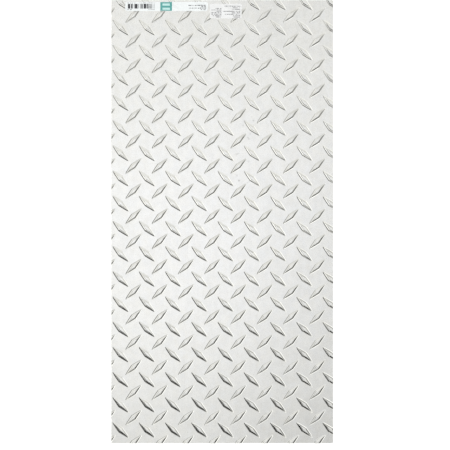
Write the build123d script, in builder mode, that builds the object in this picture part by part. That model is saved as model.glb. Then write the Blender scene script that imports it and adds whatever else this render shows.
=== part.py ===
"""Aluminium tread plate: one sheared panel of rolled raised-lug sheet, with two blank retail labels stuck to its face.

Millimetres, +Z up. The origin is the centre of the underside. X runs across the sheet, Y along it, towards the
labelled end, and the lugs stand on the +Z face. The underside is plain.
"""

import os
from math import atan2, cos, degrees, hypot, radians, sin

from build123d import *

# ---- the sheet ----
SHEET_W = 304.8  # across, 12 in
SHEET_L = 609.6  # along, 24 in
SHEET_T = 1.6  # gauge of the plate between the lugs, 1/16 in

# ---- one raised lug: a long diamond that steepens towards its foot ----
LUG_L = 29.6  # tip to tip
LUG_W = 8.4  # corner to corner, at mid length
LUG_H = 1.3  # stands above the plate
SHOULDER_Z = 1.0  # the steep lower flank ends here
SHOULDER_SHARE = 0.62  # the diamond's size at the shoulder, as a share of its foot
CREST_SHARE = 0.42  # and at the small flat crest
LUG_ROOT = 0.4  # how far the solid reaches down into the plate
LUG_ANGLE = 43.8  # the long axis from X, in both senses

# ---- the tread pattern: two lug families, one rising and one falling to the right, about half a pitch apart ----
PITCH_X = 36.09
PITCH_Y = 34.60
COLUMNS = 9
ROWS = 18
RISING = (-13.51, -10.08)  # middle of the rising family's grid
FALLING = (4.83, 7.38)  # and of the falling family's

# ---- the two labels, thin film pressed down over the lugs ----
FILM_T = 0.10
STRIP_W, STRIP_H, STRIP_R = 113.9, 12.7, 3.2
STRIP_X, STRIP_Y = -76.55, 295.85
TAG_W, TAG_H, TAG_R = 43.9, 20.2, 1.6
TAG_X, TAG_Y = 4.85, 289.45
LABEL_CLEAR = 6.0  # height of the cutter that trims a label to its outline

# ---- worked-out sizes ----
FOOT_R = (LUG_L / 2) * (LUG_W / 2) / hypot(LUG_L / 2, LUG_W / 2)  # inradius of the foot diamond
SHOULDER_R = FOOT_R * SHOULDER_SHARE
CREST_R = FOOT_R * CREST_SHARE
FLANK = atan2(SHOULDER_Z, FOOT_R - SHOULDER_R)  # slope of the lower flank
ROOF = atan2(LUG_H - SHOULDER_Z, SHOULDER_R - CREST_R)  # slope of the upper flank


def diamond(inradius):
    """Corners of the lug's diamond at the level where its inradius is this."""
    k = inradius / FOOT_R
    return [(LUG_L / 2 * k, 0), (0, LUG_W / 2 * k), (-LUG_L / 2 * k, 0), (0, -LUG_W / 2 * k)]


def lug_form(skin):
    """A lug along X with its foot at z = 0, grown outwards by skin."""
    foot = FOOT_R + skin / sin(FLANK)
    roof = SHOULDER_R + skin / sin(ROOF)  # where the grown roof plane stands at SHOULDER_Z
    run_flank, run_roof = cos(FLANK) / sin(FLANK), cos(ROOF) / sin(ROOF)
    knee_z = (foot - roof - SHOULDER_Z * run_roof) / (run_flank - run_roof)
    knee = foot - knee_z * run_flank
    with BuildPart() as form:
        with BuildSketch(Plane.XY.offset(-LUG_ROOT)):
            Polygon(*diamond(foot), align=None)
        extrude(amount=LUG_ROOT)
        with BuildSketch():
            Polygon(*diamond(foot), align=None)
        extrude(amount=knee_z, taper=90 - degrees(FLANK))
        with BuildSketch(Plane.XY.offset(knee_z)):
            Polygon(*diamond(knee), align=None)
        extrude(amount=LUG_H + skin - knee_z, taper=90 - degrees(ROOF))
    return form


def reach(width, height):
    """Half sizes of the box that a turned lug fills, plus half of a rectangle's."""
    a = radians(LUG_ANGLE)
    return LUG_L / 2 * cos(a) + width / 2 + 1.0, LUG_L / 2 * sin(a) + height / 2 + 1.0


def lugs_near(family, x, y, width, height):
    """Centres of one family's lugs that a rectangle at x, y touches."""
    rx, ry = reach(width, height)
    return [
        (family[0] + (i - (COLUMNS - 1) / 2) * PITCH_X, family[1] + (j - (ROWS - 1) / 2) * PITCH_Y)
        for i in range(COLUMNS)
        for j in range(ROWS)
        if abs(family[0] + (i - (COLUMNS - 1) / 2) * PITCH_X - x) < rx
        and abs(family[1] + (j - (ROWS - 1) / 2) * PITCH_Y - y) < ry
    ]


# ---- the tread sheet: plate and lugs, rolled from one piece and sheared square through the pattern ----
lug = lug_form(0.0)

with BuildPart() as tread_sheet:
    with BuildSketch():
        Rectangle(SHEET_W, SHEET_L)
    extrude(amount=SHEET_T)
    with Locations((*RISING, SHEET_T)):
        with GridLocations(PITCH_X, PITCH_Y, COLUMNS, ROWS):
            add(lug.part, rotation=(0, 0, LUG_ANGLE))
    with Locations((*FALLING, SHEET_T)):
        with GridLocations(PITCH_X, PITCH_Y, COLUMNS, ROWS):
            add(lug.part, rotation=(0, 0, -LUG_ANGLE))
    with BuildSketch():
        Rectangle(SHEET_W, SHEET_L)
    extrude(amount=SHEET_T + LUG_H + 1.0, mode=Mode.INTERSECT)
tread_sheet.part.label = "tread_sheet"

# ---- the labels: a film of even thickness on the plate, raised where it passes over a lug ----
film_lug = lug_form(FILM_T)


def label_film(width, height, radius, x, y):
    with BuildPart() as film:
        with BuildSketch(Plane.XY.offset(SHEET_T)):
            with Locations((x, y)):
                RectangleRounded(width, height, radius)
        extrude(amount=FILM_T)
        with Locations(*[(cx, cy, SHEET_T) for cx, cy in lugs_near(RISING, x, y, width, height)]):
            add(film_lug.part, rotation=(0, 0, LUG_ANGLE))
        with Locations(*[(cx, cy, SHEET_T) for cx, cy in lugs_near(FALLING, x, y, width, height)]):
            add(film_lug.part, rotation=(0, 0, -LUG_ANGLE))
        with BuildSketch(Plane.XY.offset(SHEET_T)):
            with Locations((x, y)):
                RectangleRounded(width, height, radius)
        extrude(amount=LABEL_CLEAR, mode=Mode.INTERSECT)
        add(tread_sheet.part, mode=Mode.SUBTRACT)
    return film


label_strip = label_film(STRIP_W, STRIP_H, STRIP_R, STRIP_X, STRIP_Y)
label_strip.part.label = "label_strip"
label_tag = label_film(TAG_W, TAG_H, TAG_R, TAG_X, TAG_Y)
label_tag.part.label = "label_tag"

os.makedirs("parts", exist_ok=True)
export_step(tread_sheet.part, "parts/tread_sheet.step")
export_step(label_strip.part, "parts/label_strip.step")
export_step(label_tag.part, "parts/label_tag.step")
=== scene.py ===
import math

import bmesh
import bpy
import numpy as np
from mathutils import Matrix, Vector
from mathutils.geometry import delaunay_2d_cdt


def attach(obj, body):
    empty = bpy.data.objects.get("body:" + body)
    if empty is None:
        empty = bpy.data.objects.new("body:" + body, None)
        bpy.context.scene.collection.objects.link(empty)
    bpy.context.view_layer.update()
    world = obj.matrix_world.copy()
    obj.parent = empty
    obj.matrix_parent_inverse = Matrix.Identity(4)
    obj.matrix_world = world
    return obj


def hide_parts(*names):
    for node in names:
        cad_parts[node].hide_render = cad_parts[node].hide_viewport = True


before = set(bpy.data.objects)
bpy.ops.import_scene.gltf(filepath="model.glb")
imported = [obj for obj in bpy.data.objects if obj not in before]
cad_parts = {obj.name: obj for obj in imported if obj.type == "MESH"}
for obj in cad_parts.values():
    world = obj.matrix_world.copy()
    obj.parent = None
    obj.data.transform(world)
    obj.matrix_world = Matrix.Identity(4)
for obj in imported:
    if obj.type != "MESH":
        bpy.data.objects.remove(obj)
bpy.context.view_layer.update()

MM = 0.001

# ---- the sheet, in millimetres, as it is in the part ----
SHEET_W, SHEET_L, SHEET_T = 304.8, 609.6, 1.6
LUG_ANGLE = 43.8
PITCH_X, PITCH_Y = 36.09, 34.60
COLUMNS, ROWS = 9, 18
RISING = (-13.51, -10.08)
FALLING = (4.83, 7.38)

# ---- the rolled lug: a long diamond with full sides ----
HALF_L = 14.45  # half length of the outline, where the steep flank begins
HALF_W = 3.52  # half width at mid length
BELLY = 0.814  # 1 is a straight-sided diamond, less is fuller
# slope of the lug's side by distance in from the outline: foot, steep flank, shoulder, crest
DEPTHS = (-0.878, -0.824, 0.024, 0.045, 0.991, 1.937, 1.942, 2.307, 2.807)
SLOPES = (0, 0.323, 0.155, 0.718, 0.558, 0.586, 0, 0.043, 0)
FOOT = 1.05  # the foot has run out this far past the outline


# =====================================================================================================================
# the lug's surface
# =====================================================================================================================
def half_width(u):
    return HALF_W * (1.0 - np.clip(np.abs(u) / HALF_L, 0.0, 1.0)) ** BELLY


_d = np.linspace(-3.0, 9.0, 1201)
_slope = np.convolve(np.interp(_d, DEPTHS, SLOPES, left=0.0, right=0.0), np.ones(21) / 21, "same")
_rise = np.concatenate([[0.0], np.cumsum((_slope[1:] + _slope[:-1]) / 2 * np.diff(_d))])
LUG_H = float(_rise[-1])
_s = HALF_L * np.sin(np.linspace(-math.pi / 2, math.pi / 2, 401))
OUTLINE = np.r_[np.c_[_s, half_width(_s)], np.c_[_s, -half_width(_s)]]


def depth(u, v):
    """Distance in from the outline, at points in the lug's own axes; less than 0 outside it."""
    out = np.empty(len(u))
    for k in range(0, len(u), 6000):
        a, b = u[k : k + 6000, None], v[k : k + 6000, None]
        out[k : k + 6000] = np.sqrt(((a - OUTLINE[None, :, 0]) ** 2 + (b - OUTLINE[None, :, 1]) ** 2).min(1))
    return np.where((np.abs(v) < half_width(u)) & (np.abs(u) < HALF_L), out, -out)


def soften(a, sigma):
    """Gaussian blur of a grid; sigma in cells."""
    k = np.exp(-0.5 * (np.arange(-4, 5) / sigma) ** 2)
    k /= k.sum()
    for axis in (0, 1):
        p = np.pad(a, [(4, 4) if i == axis else (0, 0) for i in (0, 1)], mode="edge")
        a = sum(w * np.take(p, np.arange(i, i + a.shape[axis]), axis) for i, w in enumerate(k))
    return a


# the lug's height on a fine grid, and its slopes
CELL = 0.1
GRID_U, GRID_V = np.arange(-17.5, 17.501, CELL), np.arange(-6.5, 6.501, CELL)
_uu, _vv = np.meshgrid(GRID_U, GRID_V)
LUG_Z = soften(np.interp(depth(_uu.ravel(), _vv.ravel()), _d, _rise).reshape(_uu.shape), 1.0)
LUG_DV, LUG_DU = np.gradient(LUG_Z, CELL)


def lug_surface(u, v):
    """Height and the two slopes at points in the lug's own axes."""
    fu = (np.clip(u, GRID_U[0], GRID_U[-1] - 1e-6) - GRID_U[0]) / CELL
    fv = (np.clip(v, GRID_V[0], GRID_V[-1] - 1e-6) - GRID_V[0]) / CELL
    i, j = fu.astype(int), fv.astype(int)
    a, b = fu - i, fv - j
    return [
        t[j, i] * (1 - a) * (1 - b) + t[j, i + 1] * a * (1 - b) + t[j + 1, i] * (1 - a) * b + t[j + 1, i + 1] * a * b
        for t in (LUG_Z, LUG_DU, LUG_DV)
    ]


def turn(sense):
    a = math.radians(LUG_ANGLE * sense)
    return math.cos(a), math.sin(a)


FAMILIES = ((RISING, turn(1)), (FALLING, turn(-1)))


def field(x, y):
    """Height above the plate, and the slopes along X and Y, at any points of the sheet."""
    z, sx, sy = np.zeros(len(x)), np.zeros(len(x)), np.zeros(len(x))
    for (cx, cy), (c, s) in FAMILIES:
        p, q = (x - cx) / PITCH_X, (y - cy) / PITCH_Y + 0.5  # an even number of rows: half a pitch off the middle
        p, q = (p - np.round(p)) * PITCH_X, (q - np.round(q)) * PITCH_Y
        h, hu, hv = lug_surface(p * c + q * s, -p * s + q * c)
        z, sx, sy = z + h, sx + hu * c - hv * s, sy + hu * s + hv * c
    return z, sx, sy


# =====================================================================================================================
# the sheet: one closed skin with every lug in it
# =====================================================================================================================
STATIONS = (0.0, 0.015, 0.16, 0.32, 0.48, 0.63, 0.77, 0.89, 0.96)  # from the corner to the tip, as a share
LEVELS = ((-0.74, 0), (-0.10, 0), (0.20, 0.26), (0.95, 0.50), (1.78, 0.74), (2.08, 0.84), (2.75, 0.95))


def lug_patch():
    """Vertices (u, v, z), faces, and how many vertices the outer ring has; they come first, counter-clockwise."""
    right = [(HALF_L * t, float(half_width(np.array(HALF_L * t)))) for t in STATIONS[::-1]]
    upper = right + [(-u, v) for u, v in right[-2::-1]]
    ring = [(HALF_L, 0.0)] + upper + [(-HALF_L, 0.0)] + [(u, -v) for u, v in upper[::-1]]
    rows = []
    for pu, pv in ring:
        su, sv = 0.9 * pu, 0.0  # on the spine
        away = (FOOT + 1.5) / math.hypot(pu - su, pv - sv)
        t = np.r_[np.linspace(-away, 0.0, 400, endpoint=False), np.linspace(0.0, 1.0, 400)]
        d = np.maximum.accumulate(depth(pu + (su - pu) * t, pv + (sv - pv) * t))
        levels = [-FOOT] + [a if a <= 0 else min(a, b * d[-1]) for a, b in LEVELS]
        k = np.interp(levels, d, t)
        rows.append(np.c_[pu + (su - pu) * k, pv + (sv - pv) * k])
    pts = np.array(rows).transpose(1, 0, 2)  # level, ray, (u, v)
    m, n = pts.shape[:2]
    flat = pts.reshape(-1, 2)
    z = lug_surface(flat[:, 0], flat[:, 1])[0]
    z[:n] = 0.0
    faces = []
    for level in range(m - 1):
        a, b = level * n, (level + 1) * n
        faces += [(a + k, a + (k + 1) % n, b + (k + 1) % n, b + k) for k in range(n)]
    last, half = (m - 1) * n, n // 2
    faces.append((last, last + 1, last + n - 1))
    faces += [(last + k, last + k + 1, last + n - k - 1, last + n - k) for k in range(1, half - 1)]
    faces.append((last + half - 1, last + half, last + half + 1))
    return np.c_[flat, z], faces, n


def tread_mesh():
    patch, patch_faces, ring = lug_patch()
    verts, faces, loops = [], [], []
    for (fx, fy), (c, s) in FAMILIES:
        for i in range(COLUMNS):
            for j in range(ROWS):
                cx, cy = fx + (i - (COLUMNS - 1) / 2) * PITCH_X, fy + (j - (ROWS - 1) / 2) * PITCH_Y
                if abs(cx) > SHEET_W / 2 + 22 or abs(cy) > SHEET_L / 2 + 22:
                    continue
                at = len(verts) * len(patch)
                u, v = patch[:, 0], patch[:, 1]
                verts.append(np.c_[cx + u * c - v * s, cy + u * s + v * c, patch[:, 2] + SHEET_T])
                faces += [tuple(k + at for k in f) for f in patch_faces]
                loops.append(list(range(at, at + ring)))
    verts = np.concatenate(verts)

    # the plate between the lugs, a little larger than the sheet
    corner = [(-190, -345), (190, -345), (190, 345), (-190, 345)]
    flat_index = [k for loop in loops for k in loop]
    owner = [n for n, loop in enumerate(loops) for _ in loop] + [-1, -2, -3, -4]
    points = [Vector((float(verts[k, 0]), float(verts[k, 1]))) for k in flat_index] + [Vector(p) for p in corner]
    edges, at = [], 0
    for loop in loops:
        n = len(loop)
        edges += [(at + k, at + (k + 1) % n) for k in range(n)]
        at += n
    edges += [(at + k, at + (k + 1) % 4) for k in range(4)]
    flat_index += [len(verts) + k for k in range(4)]
    verts = np.r_[verts, [(x, y, SHEET_T) for x, y in corner]]
    co, _, tris, orig, _, _ = delaunay_2d_cdt(points, edges, [], 1, 1e-6)
    if len(co) != len(points):
        raise RuntimeError("the lug outlines cross")
    back = [o[0] for o in orig]
    for t in tris:
        k = [back[i] for i in t]
        if owner[k[0]] == owner[k[1]] == owner[k[2]]:
            continue  # inside a lug
        faces.append(tuple(flat_index[i] for i in k))

    bm = bmesh.new()
    made = [bm.verts.new(p) for p in verts]
    for f in faces:
        bm.faces.new([made[k] for k in f])
    bm.normal_update()
    for f in bm.faces:
        if f.normal.z < 0:
            f.normal_flip()

    # sheared square through the pattern
    roll = 0.14  # the shear rolls the upper edge over by this much
    hx, hy = SHEET_W / 2 - roll, SHEET_L / 2 - roll
    for co_, no in (
        ((hx, 0, 0), (1, 0, 0)),
        ((-hx, 0, 0), (-1, 0, 0)),
        ((0, hy, 0), (0, 1, 0)),
        ((0, -hy, 0), (0, -1, 0)),
    ):
        geom = list(bm.verts) + list(bm.edges) + list(bm.faces)
        bmesh.ops.bisect_plane(bm, geom=geom, dist=1e-5, plane_co=co_, plane_no=no, clear_outer=True)
    bmesh.ops.remove_doubles(bm, verts=[v for v in bm.verts if v.is_boundary], dist=2e-3)
    bmesh.ops.dissolve_degenerate(bm, dist=1e-4, edges=list(bm.edges))
    for f in bm.faces:
        f.material_index = 0
        f.smooth = True

    def out(v, by):
        return (
            (math.copysign(by, v.co.x) if abs(v.co.x) > hx - 0.01 else 0.0),
            (math.copysign(by, v.co.y) if abs(v.co.y) > hy - 0.01 else 0.0),
        )

    rim = [e for e in bm.edges if e.is_boundary]
    # (how far out, how high); the height is below the top where it is negative, above the underside where positive
    for by, level in ((0.45 * roll, -0.05), (roll, -0.22), (roll + 0.012, 0.10), (roll - 0.05, 0.0)):
        start = {v: out(v, by) for e in rim for v in e.verts}
        if by == 0.45 * roll:
            base = {v: (v.co.copy(), out(v, 1.0)) for e in rim for v in e.verts}
        got = bmesh.ops.extrude_edge_only(bm, edges=rim)
        new_edges = [g for g in got["geom"] if isinstance(g, bmesh.types.BMEdge) and g.is_boundary]
        new_verts = {v for e in new_edges for v in e.verts}
        nxt = {}
        for v in new_verts:
            old = next(e.other_vert(v) for e in v.link_edges if e.other_vert(v) not in new_verts)
            co0, way = base[old]
            z = co0.z + level if level < 0 else level
            v.co = Vector((co0.x + way[0] * by, co0.y + way[1] * by, z))
            nxt[v] = (co0, way)
        base = nxt
        for f in {f for e in new_edges for f in e.link_faces}:
            f.material_index = 1
            f.smooth = True
        rim = new_edges
    under = bmesh.ops.contextual_create(bm, geom=rim)["faces"]
    for f in under:
        f.material_index = 0
        f.smooth = False
    bmesh.ops.triangulate(bm, faces=under, quad_method="BEAUTY", ngon_method="BEAUTY")
    bmesh.ops.recalc_face_normals(bm, faces=list(bm.faces))
    for e in bm.edges:
        if len(e.link_faces) == 2:
            mats = {f.material_index for f in e.link_faces}
            if (1 in mats) and e.calc_face_angle(0.0) > math.radians(28):
                e.smooth = False
    for v in bm.verts:
        v.co *= MM
    me = bpy.data.meshes.new("tread_sheet_skin")
    bm.to_mesh(me)
    bm.free()
    # the top's shading normals are the surface's own, so that a lug reads the same however it is faceted
    co = np.empty(len(me.vertices) * 3)
    me.vertices.foreach_get("co", co)
    co = co.reshape(-1, 3) / MM
    _, sx, sy = field(co[:, 0], co[:, 1])
    nrm = np.c_[-sx, -sy, np.ones(len(sx))]
    nrm[np.abs(co[:, 2] - SHEET_T) < 1e-3] = (0.0, 0.0, 1.0)  # the plate between the lugs is flat
    nrm /= np.linalg.norm(nrm, axis=1)[:, None]
    out_of = (np.abs(co[:, 0]) > hx + 0.01) | (np.abs(co[:, 1]) > hy + 0.01) | (co[:, 2] < SHEET_T - 0.02)
    nrm[out_of] = 0.0
    index = np.empty(len(me.loops), int)
    me.loops.foreach_get("vertex_index", index)
    normals = nrm[index]
    for poly in me.polygons:
        if poly.material_index != 0 or poly.normal.z < 0:
            normals[poly.loop_start : poly.loop_start + poly.loop_total] = 0.0
    me.normals_split_custom_set(normals.tolist())
    return me


# =====================================================================================================================
# the labels: thin film pressed over the lugs
# =====================================================================================================================
FILM = 0.10
TENT = 0.32  # slope of the paper beside a lug


def rounded(w, h, r, x, y, step=0.9):
    """Corner points of a rounded rectangle, counter-clockwise, closely spaced."""
    pts = []
    for cx, cy, a0 in (
        (x + w / 2 - r, y + h / 2 - r, 0),
        (x - w / 2 + r, y + h / 2 - r, 90),
        (x - w / 2 + r, y - h / 2 + r, 180),
        (x + w / 2 - r, y - h / 2 + r, 270),
    ):
        for k in range(7):
            a = math.radians(a0 + 15 * k)
            pts.append((cx + r * math.cos(a), cy + r * math.sin(a)))
    out = []
    for k, p in enumerate(pts):
        q = pts[(k + 1) % len(pts)]
        n = max(1, int(round(math.dist(p, q) / step)))
        out += [(p[0] + (q[0] - p[0]) * i / n, p[1] + (q[1] - p[1]) * i / n) for i in range(n)]
    return np.array(out)


def film_mesh(name, w, h, r, x, y, step=0.62):
    gx = np.arange(x - w / 2 - 3, x + w / 2 + 3.01, 0.5)
    gy = np.arange(y - h / 2 - 3, y + h / 2 + 3.01, 0.5)
    X, Y = np.meshgrid(gx, gy)
    Z = field(X.ravel(), Y.ravel())[0].reshape(X.shape)

    # paper that is stretched over a lug comes down to the plate at a gentle slope, clear of the lug's foot
    tent = Z.copy()
    for _ in range(9):
        p = np.pad(tent, 1, mode="edge")
        side = np.maximum.reduce([p[1:-1, :-2], p[1:-1, 2:], p[:-2, 1:-1], p[2:, 1:-1]]) - 0.5 * TENT
        diagonal = np.maximum.reduce([p[:-2, :-2], p[:-2, 2:], p[2:, :-2], p[2:, 2:]]) - 0.7071 * TENT
        tent = np.maximum.reduce([tent, side, diagonal])
    for _ in range(3):
        p = np.pad(tent, 1, mode="edge")
        tent = (p[1:-1, 1:-1] * 4 + p[:-2, 1:-1] + p[2:, 1:-1] + p[1:-1, :-2] + p[1:-1, 2:]) / 8
    film = np.maximum(tent, Z) + 0.012 + 0.07 * np.clip(tent / 0.25, 0.0, 1.0)  # bridging the lugs' creases

    def at(px, py):
        fx = np.clip((px - gx[0]) / 0.5, 0, len(gx) - 1.001)
        fy = np.clip((py - gy[0]) / 0.5, 0, len(gy) - 1.001)
        i, j = fx.astype(int), fy.astype(int)
        a, b = fx - i, fy - j
        return (
            film[j, i] * (1 - a) * (1 - b)
            + film[j, i + 1] * a * (1 - b)
            + film[j + 1, i] * (1 - a) * b
            + film[j + 1, i + 1] * a * b
        )

    ring = rounded(w, h, r, x, y)
    inner = rounded(w - 1.0, h - 1.0, r - 0.5, x, y)
    ix = np.arange(x - w / 2 + step, x + w / 2 - step / 2, step)
    iy = np.arange(y - h / 2 + step, y + h / 2 - step / 2, step)
    rows = []
    for k, b in enumerate(iy):
        for a in ix + (step / 2 if k % 2 else 0):
            dx, dy = abs(a - x) - (w / 2 - r), abs(b - y) - (h / 2 - r)
            if (dx > 0 and dy > 0 and math.hypot(dx, dy) > r - 0.9) or dx > r - 0.9 or dy > r - 0.9:
                continue
            rows.append((a, b))
    pts = np.r_[ring, inner, np.array(rows)]
    n = len(ring)
    edges = [(k, (k + 1) % n) for k in range(n)]
    co, _, tris, orig, _, _ = delaunay_2d_cdt([Vector(q) for q in pts.tolist()], edges, [], 1, 1e-6)
    xy = np.array([tuple(c) for c in co])
    order = {o: k for k, oo in enumerate(orig) for o in oo}
    rim = [order[k] for k in range(n)]
    z = at(xy[:, 0], xy[:, 1]) + SHEET_T
    top = np.c_[xy, z + FILM]
    low = np.c_[xy, z]
    c = len(xy)
    faces = []
    for t in tris:
        a, b, d = (xy[k] for k in t)
        ccw = (b[0] - a[0]) * (d[1] - a[1]) - (b[1] - a[1]) * (d[0] - a[0]) > 0
        t = tuple(t) if ccw else tuple(reversed(t))
        faces.append(t)
        faces.append(tuple(k + c for k in reversed(t)))
    faces += [(rim[k], rim[k] + c, rim[(k + 1) % n] + c, rim[(k + 1) % n]) for k in range(n)]
    me = bpy.data.meshes.new(name)
    me.from_pydata((np.r_[top, low] * MM).tolist(), [], faces)
    bm = bmesh.new()
    bm.from_mesh(me)
    bmesh.ops.recalc_face_normals(bm, faces=list(bm.faces))
    for f in bm.faces:
        f.smooth = True
    for e in bm.edges:
        if len(e.link_faces) == 2 and e.calc_face_angle(0.0) > math.radians(50):
            e.smooth = False
    bm.to_mesh(me)
    bm.free()
    return me


# =====================================================================================================================
# materials
# =====================================================================================================================
class Nodes:
    """Small helper for writing node trees."""

    def __init__(self, tree):
        self.t = tree
        tree.nodes.clear()

    def new(self, kind, **props):
        n = self.t.nodes.new(kind)
        for k, v in props.items():
            setattr(n, k, v)
        return n

    def link(self, a, b):
        self.t.links.new(a, b)

    def put(self, socket, value):
        if isinstance(value, bpy.types.NodeSocket):
            self.link(value, socket)
        else:
            socket.default_value = value

    def math(self, op, a, b=0.0, c=0.0, clamp=False):
        n = self.new("ShaderNodeMath", operation=op, use_clamp=clamp)
        self.put(n.inputs[0], a)
        self.put(n.inputs[1], b)
        self.put(n.inputs[2], c)
        return n.outputs[0]

    def step(self, x, a, b, lo=0.0, hi=1.0):
        n = self.new("ShaderNodeMapRange", interpolation_type="SMOOTHSTEP")
        for k, v in zip(("Value", "From Min", "From Max", "To Min", "To Max"), (x, a, b, lo, hi)):
            self.put(n.inputs[k], v)
        return n.outputs[0]

    def line(self, x, a, b, lo=0.0, hi=1.0):
        n = self.new("ShaderNodeMapRange")
        for k, v in zip(("Value", "From Min", "From Max", "To Min", "To Max"), (x, a, b, lo, hi)):
            self.put(n.inputs[k], v)
        return n.outputs[0]

    def scaled(self, vector, scale):
        n = self.new("ShaderNodeVectorMath", operation="MULTIPLY")
        self.put(n.inputs[0], vector)
        n.inputs[1].default_value = scale
        return n.outputs[0]

    def noise(self, vector, scale, detail=2.0, rough=0.5):
        n = self.new("ShaderNodeTexNoise")
        self.put(n.inputs["Vector"], vector)
        n.inputs["Scale"].default_value = scale
        n.inputs["Detail"].default_value = detail
        n.inputs["Roughness"].default_value = rough
        return n.outputs["Fac"]

    def mix(self, fac, a, b):
        n = self.new("ShaderNodeMix", data_type="RGBA")
        self.put(n.inputs[0], fac)
        self.put(n.inputs[6], a)
        self.put(n.inputs[7], b)
        return n.outputs[2]

    def bump(self, height, strength, distance, normal=None):
        n = self.new("ShaderNodeBump")
        n.inputs["Strength"].default_value = strength
        n.inputs["Distance"].default_value = distance
        self.put(n.inputs["Height"], height)
        if normal is not None:
            self.put(n.inputs["Normal"], normal)
        return n.outputs[0]


def material(name):
    m = bpy.data.materials.new(name)
    m.use_nodes = True
    n = Nodes(m.node_tree)
    out = n.new("ShaderNodeOutputMaterial")
    bsdf = n.new("ShaderNodeBsdfPrincipled")
    n.link(bsdf.outputs[0], out.inputs[0])
    where = n.new("ShaderNodeTexCoord").outputs["Object"]
    return m, n, bsdf, where


# faint finger marks and scuffs on the plate: x, y and radius in millimetres, and how strong
MARKS = (
    (43.0, 138.8, 1.4, 1.0),
    (40.4, 144.0, 1.2, 0.40),
    (28.6, 132.2, 1.9, 0.55),
    (38.6, 120.7, 1.6, 0.55),
    (35.4, 115.5, 1.3, 0.75),
    (36.7, 113.6, 1.3, 0.85),
    (19.2, 92.0, 1.3, 0.55),
    (20.7, 92.9, 1.3, 0.75),
    (22.4, 93.7, 1.3, 0.65),
    (36.0, 82.6, 1.9, 0.45),
    (20.2, 63.3, 1.9, 0.60),
    (23.1, 56.3, 1.8, 1.0),
    (34.5, 53.4, 1.3, 0.70),
    (37.1, 55.5, 1.3, 0.50),
)


def bright_metal():
    m, n, b, where = material("bright_rolled_aluminium")
    b.inputs["Metallic"].default_value = 1.0
    # rolling lines run along the sheet; the polish is a little uneven
    fine = n.noise(n.scaled(where, (2600.0, 45.0, 400.0)), 1.0, 3.0, 0.6)
    broad = n.noise(n.scaled(where, (160.0, 9.0, 40.0)), 1.0, 2.0, 0.5)
    patch = n.noise(n.scaled(where, (190.0, 150.0, 150.0)), 1.0, 3.0, 0.65)
    cloud = n.noise(where, 11.0, 3.0, 0.55)
    lines = n.math("ADD", n.math("MULTIPLY", fine, 0.25), n.math("MULTIPLY", broad, 0.20))
    tone = n.math("ADD", lines, n.math("ADD", n.math("MULTIPLY", patch, 0.35), n.math("MULTIPLY", cloud, 0.20)))
    # a fine grain, and a faint drift between warm and cool
    grain = n.noise(n.scaled(where, (640.0, 560.0, 600.0)), 1.0, 1.0, 0.5)
    dapple = n.noise(n.scaled(where, (120.0, 100.0, 100.0)), 1.0, 1.0, 0.5)
    uneven = n.math("ADD", n.math("MULTIPLY", grain, 0.60), n.math("MULTIPLY", dapple, 0.35))
    polish = n.line(n.math("ADD", tone, n.math("ADD", uneven, -0.475)), 0.36, 0.64)
    drift = n.line(n.noise(n.scaled(where, (100.0, 90.0, 90.0)), 1.0, 3.0, 0.75), 0.30, 0.70)
    warm = n.mix(polish, (0.868, 0.861, 0.828, 1), (0.955, 0.948, 0.915, 1))
    cool = n.mix(polish, (0.856, 0.863, 0.860, 1), (0.942, 0.949, 0.946, 1))
    clean = n.mix(drift, warm, cool)
    dull = 0.0
    for mx, my, radius, strong in MARKS:
        apart = n.new("ShaderNodeVectorMath", operation="DISTANCE")
        n.put(apart.inputs[0], where)
        apart.inputs[1].default_value = (mx * MM, my * MM, SHEET_T * MM)
        dull = n.math("ADD", dull, n.step(apart.outputs["Value"], 1.25 * radius * MM, 0.25 * radius * MM, 0.0, 0.45 * strong))
    broken = n.line(n.noise(where, 700.0, 2.0, 0.5), 0.30, 0.60, 0.5, 1.1)
    n.put(b.inputs["Base Color"], n.mix(n.math("MULTIPLY", dull, broken), clean, (0.30, 0.30, 0.29, 1)))
    n.put(b.inputs["Roughness"], n.line(tone, 0.30, 0.70, 0.07, 0.12))
    # the roll leaves the plate very slightly wavy, and finely lined
    wave = n.noise(n.scaled(where, (26.0, 15.0, 15.0)), 1.0, 1.0, 0.4)
    first = n.bump(wave, 0.35, 0.00035)
    n.put(b.inputs["Normal"], n.bump(fine, 0.06, 0.00002, first))
    return m


def sheared_metal():
    m, n, b, where = material("sheared_aluminium_edge")
    b.inputs["Metallic"].default_value = 1.0
    # upright shear marks, and the torn band under the burnished one
    marks = n.noise(n.scaled(where, (3000.0, 3000.0, 160.0)), 1.0, 2.0, 0.6)
    split = n.new("ShaderNodeSeparateXYZ")
    n.put(split.inputs[0], where)
    torn = n.step(split.outputs["Z"], 0.00080, 0.00055)
    n.put(b.inputs["Base Color"], n.mix(n.line(marks, 0.35, 0.65), (0.74, 0.74, 0.73, 1), (0.88, 0.88, 0.87, 1)))
    n.put(b.inputs["Roughness"], n.math("ADD", n.line(marks, 0.3, 0.7, 0.24, 0.34), n.math("MULTIPLY", torn, 0.2)))
    n.put(b.inputs["Normal"], n.bump(marks, 0.5, 0.00004))
    return m


def rect(n, x, y, x0, x1, y0, y1, soft=0.00012):
    """1 inside a rectangle given in millimetres, 0 outside it."""
    cx, cy, hx, hy = (x0 + x1) / 2 * MM, (y0 + y1) / 2 * MM, abs(x1 - x0) / 2 * MM, abs(y1 - y0) / 2 * MM
    dx = n.math("SUBTRACT", hx, n.math("ABSOLUTE", n.math("SUBTRACT", x, cx)))
    dy = n.math("SUBTRACT", hy, n.math("ABSOLUTE", n.math("SUBTRACT", y, cy)))
    return n.step(n.math("MINIMUM", dx, dy), -soft, soft)


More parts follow.
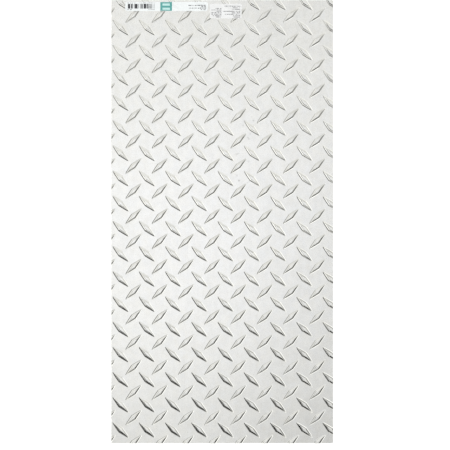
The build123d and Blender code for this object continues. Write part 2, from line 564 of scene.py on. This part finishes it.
def cells(n, along, pitch, row=0.0):
    """A random number for each cell of this length, in millimetres, along a line."""
    put = n.new("ShaderNodeCombineXYZ")
    n.put(put.inputs[0], n.math("FLOOR", n.math("DIVIDE", along, pitch * MM)))
    n.put(put.inputs[1], row)
    white = n.new("ShaderNodeTexWhiteNoise", noise_dimensions="2D")
    n.put(white.inputs["Vector"], put.outputs[0])
    return white.outputs["Value"]


def small_print(n, x, y, colour, rows, tall, ink, share=0.72):
    """Rows of small illegible marks; a row is its middle's height and its two ends, in millimetres."""
    for k, (at, x0, x1) in enumerate(rows):
        mark = n.math("LESS_THAN", cells(n, x, 0.62, 3.0 + k), share)
        band = rect(n, x, y, x0, x1, at - tall / 2, at + tall / 2)
        colour = n.mix(n.math("MULTIPLY", band, mark), colour, ink)
    return colour


def label_material(name, paper, prints):
    m, n, b, where = material(name)
    split = n.new("ShaderNodeSeparateXYZ")
    n.put(split.inputs[0], where)
    x, y = split.outputs["X"], split.outputs["Y"]
    fibre = n.noise(where, 900.0, 3.0, 0.6)
    mottle = n.noise(where, 60.0, 2.0, 0.5)
    colour = n.mix(n.line(mottle, 0.35, 0.65), (*[0.96 * c for c in paper], 1), (*paper, 1))
    colour = prints(n, x, y, colour)
    n.put(b.inputs["Base Color"], colour)
    n.put(b.inputs["Roughness"], n.line(fibre, 0.3, 0.7, 0.36, 0.50))
    n.put(b.inputs["Normal"], n.bump(fibre, 0.15, 0.00003))
    return m


def strip_print(n, x, y, colour):
    black, ink, teal, pale = (0.035, 0.035, 0.04, 1), (0.20, 0.20, 0.21, 1), (0.075, 0.285, 0.270, 1), (0.42, 0.63, 0.62, 1)
    # a bar pattern that encodes nothing, in bars of one to a few widths
    bar = n.math("LESS_THAN", cells(n, x, 0.56), 0.55)
    colour = n.mix(n.math("MULTIPLY", rect(n, x, y, -129.8, -93.4, 292.9, 299.4), bar), colour, black)
    colour = small_print(n, x, y, colour, ((300.7, -131.2, -93.0),), 0.9, ink, 0.42)
    colour = small_print(n, x, y, colour, ((291.6, -131.0, -124.5), (291.6, -101.5, -93.2)), 0.9, ink, 0.6)
    # a plain colour block with two pale fields
    colour = n.mix(rect(n, x, y, -85.2, -69.1, 289.9, 301.9, 0.0003), colour, teal)
    for y0 in (291.2, 297.0):
        colour = n.mix(rect(n, x, y, -82.2, -72.0, y0, y0 + 3.0, 0.0003), colour, pale)
    rows = ((297.3, -46.6, -22.0), (293.6, -46.6, -21.6), (295.5, -28.6, -22.4), (291.6, -29.5, -22.6))
    return small_print(n, x, y, colour, rows, 1.35, ink)


def tag_print(n, x, y, colour):
    left = (
        (293.1, -9.6, -1.2),
        (291.0, -14.6, -1.0),
        (289.0, -9.4, -1.4),
        (287.1, -15.0, -1.0),
        (285.1, -15.0, -1.2),
        (283.1, -13.6, -1.0),
        (281.4, -8.4, -1.8),
    )
    right = (
        (296.2, 3.4, 24.9),
        (294.1, 14.4, 24.9),
        (292.0, 13.0, 24.4),
        (289.2, 1.0, 24.9),
        (287.1, 12.4, 24.6),
        (285.1, 3.6, 24.9),
        (283.0, 13.6, 24.7),
        (281.1, 15.8, 24.2),
    )
    return small_print(n, x, y, colour, left + right, 1.15, (0.22, 0.22, 0.23, 1), 0.70)


# =====================================================================================================================
# the pieces
# =====================================================================================================================
def piece(name, mesh, node, slot, *materials):
    o = bpy.data.objects.new(name, mesh)
    bpy.context.scene.collection.objects.link(o)
    for m in materials:
        mesh.materials.append(m)
    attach(o, "root")
    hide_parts(node)
    return o


sheet = piece("tread_sheet_skin", tread_mesh(), "tread_sheet", "tread_metal", bright_metal(), sheared_metal())
strip = piece(
    "label_strip_film",
    film_mesh("label_strip_film", 113.9, 12.7, 3.2, -76.55, 295.85),
    "label_strip",
    "label_paper",
    label_material("label_strip_paper", (0.695, 0.725, 0.735), strip_print),
)
tag = piece(
    "label_tag_film",
    film_mesh("label_tag_film", 43.9, 20.2, 1.6, 4.85, 289.45),
    "label_tag",
    "label_paper",
    label_material("label_tag_paper", (0.675, 0.682, 0.690), tag_print),
)

# =====================================================================================================================
# floor, light, camera
# =====================================================================================================================
floor_mesh = bpy.data.meshes.new("floor")
floor_mesh.from_pydata([(-30, -30, 0), (30, -30, 0), (30, 30, 0), (-30, 30, 0)], [], [(0, 1, 2, 3)])
floor = bpy.data.objects.new("floor", floor_mesh)
bpy.context.scene.collection.objects.link(floor)
floor.location.z = -0.0001
m, n, b, where = material("pale_floor")
n.put(b.inputs["Base Color"], n.mix(n.line(n.noise(where, 6.0), 0.3, 0.7), (0.90, 0.90, 0.895, 1), (0.92, 0.92, 0.915, 1)))
b.inputs["Roughness"].default_value = 0.8
floor_mesh.materials.append(m)

# the studio round the sheet: a broad pale ceiling that falls off to a dark side in front of the sheet
world = bpy.data.worlds.new("studio")
bpy.context.scene.world = world
world.use_nodes = True
w = Nodes(world.node_tree)
out = w.new("ShaderNodeOutputWorld")
bg = w.new("ShaderNodeBackground")
w.link(bg.outputs[0], out.inputs[0])
way = w.new("ShaderNodeTexCoord").outputs["Generated"]
# each soft light or dark card: how much it adds, how tight it is, and where it hangs
CARDS = (
    (2.323, 32.76, (-0.586, -0.609, 0.535)),
    (-1.799, 119.89, (-0.612, -0.620, 0.490)),
    (1.032, 32.90, (0.463, 0.147, 0.874)),
    (-1.465, 6.33, (0.790, -0.049, 0.611)),
    (-1.186, 39.82, (0.143, -0.293, 0.945)),
    (0.944, 4.39, (-0.590, 0.213, 0.779)),
    (1.298, 13.04, (0.582, 0.543, 0.606)),
    (-1.246, 16.80, (-0.536, 0.198, 0.820)),
    (-2.823, 43.81, (-0.485, -0.425, 0.764)),
    (0.925, 11.68, (-0.021, -0.353, 0.935)),
    (-1.960, 24.73, (-0.682, -0.707, 0.189)),
    (-0.875, 14.52, (-0.290, -0.811, 0.507)),
    (1.310, 28.95, (0.341, -0.341, 0.876)),
    (-0.992, 58.89, (0.536, 0.625, 0.567)),
    (1.219, 20.71, (0.795, -0.224, 0.563)),
    (-1.058, 73.51, (-0.218, -0.260, 0.941)),
    (0.052, 900.0, (-0.085, -0.170, 0.982)),
    (-0.030, 600.0, (-0.100, -0.020, 0.995)),
    (-0.030, 600.0, (0.100, -0.025, 0.995)),
    (-0.030, 450.0, (0.062, 0.168, 0.984)),
)
level = 0.358
for add, tight, towards in CARDS:
    d = w.new("ShaderNodeVectorMath", operation="DOT_PRODUCT")
    w.put(d.inputs[0], way)
    d.inputs[1].default_value = towards
    near = w.math("EXPONENT", w.math("MULTIPLY_ADD", d.outputs["Value"], tight, -tight))
    level = w.math("MULTIPLY_ADD", near, add, level)
level = w.math("MAXIMUM", level, 0.015)
# low down, and straight ahead, behind and to either side, an even pale surround
split = w.new("ShaderNodeSeparateXYZ")
w.put(split.inputs[0], way)
x, y, z = (split.outputs[k] for k in "XYZ")
reach = w.math("MAXIMUM", w.math("MULTIPLY_ADD", x, x, w.math("MULTIPLY", y, y)), 0.0001)
corner = w.math("DIVIDE", w.math("ABSOLUTE", w.math("MULTIPLY", x, y)), reach)  # 0.5 towards a corner, 0 along an axis
closed = w.math("SUBTRACT", 1.0, w.math("MULTIPLY", w.step(corner, 0.36, 0.26), w.step(z, 0.80, 0.66)))
own = w.math("MULTIPLY", closed, w.step(z, 0.15, 0.24))
level = w.math("MULTIPLY_ADD", w.math("SUBTRACT", level, 0.78), own, 0.78)
# overhead a little cooler than the rest, and warmer towards the sides
overhead = w.math("EXPONENT", w.math("MULTIPLY_ADD", z, 125.0, -125.0))
tint = w.mix(w.step(z, 0.97, 0.80), (1.0, 1.0, 0.980, 1), (1.0, 0.998, 0.957, 1))
w.put(bg.inputs["Color"], w.mix(overhead, tint, (0.996, 1.0, 1.014, 1)))
w.put(bg.inputs["Strength"], w.math("MULTIPLY", level, 1.13))


# a wide even light from straight above, for the floor and the labels; the metal mirrors only the studio
fill = bpy.data.objects.new("overhead_fill", bpy.data.lights.new("overhead_fill", "SUN"))
fill.data.energy = 2.0
fill.data.angle = math.radians(70)
fill.visible_glossy = False
bpy.context.scene.collection.objects.link(fill)

LENS = 100.0
PX = 1.37585 * MM  # one pixel of the 450 x 450 frame, at the plate's upper face
cam_data = bpy.data.cameras.new("camera")
cam_data.lens = LENS
cam_data.sensor_width = 36.0
cam_data.clip_start, cam_data.clip_end = 0.05, 100.0
cam = bpy.data.objects.new("camera", cam_data)
bpy.context.scene.collection.objects.link(cam)
cam.location = ((225 - 222.235) * PX, -(225 - 221.535) * PX, SHEET_T * MM + LENS * 450 * PX / 36.0)
cam.rotation_euler = (0, 0, 0)
bpy.context.scene.camera = cam
bpy.context.scene.view_settings.view_transform = "Standard"
bpy.context.scene.view_settings.look = "None"
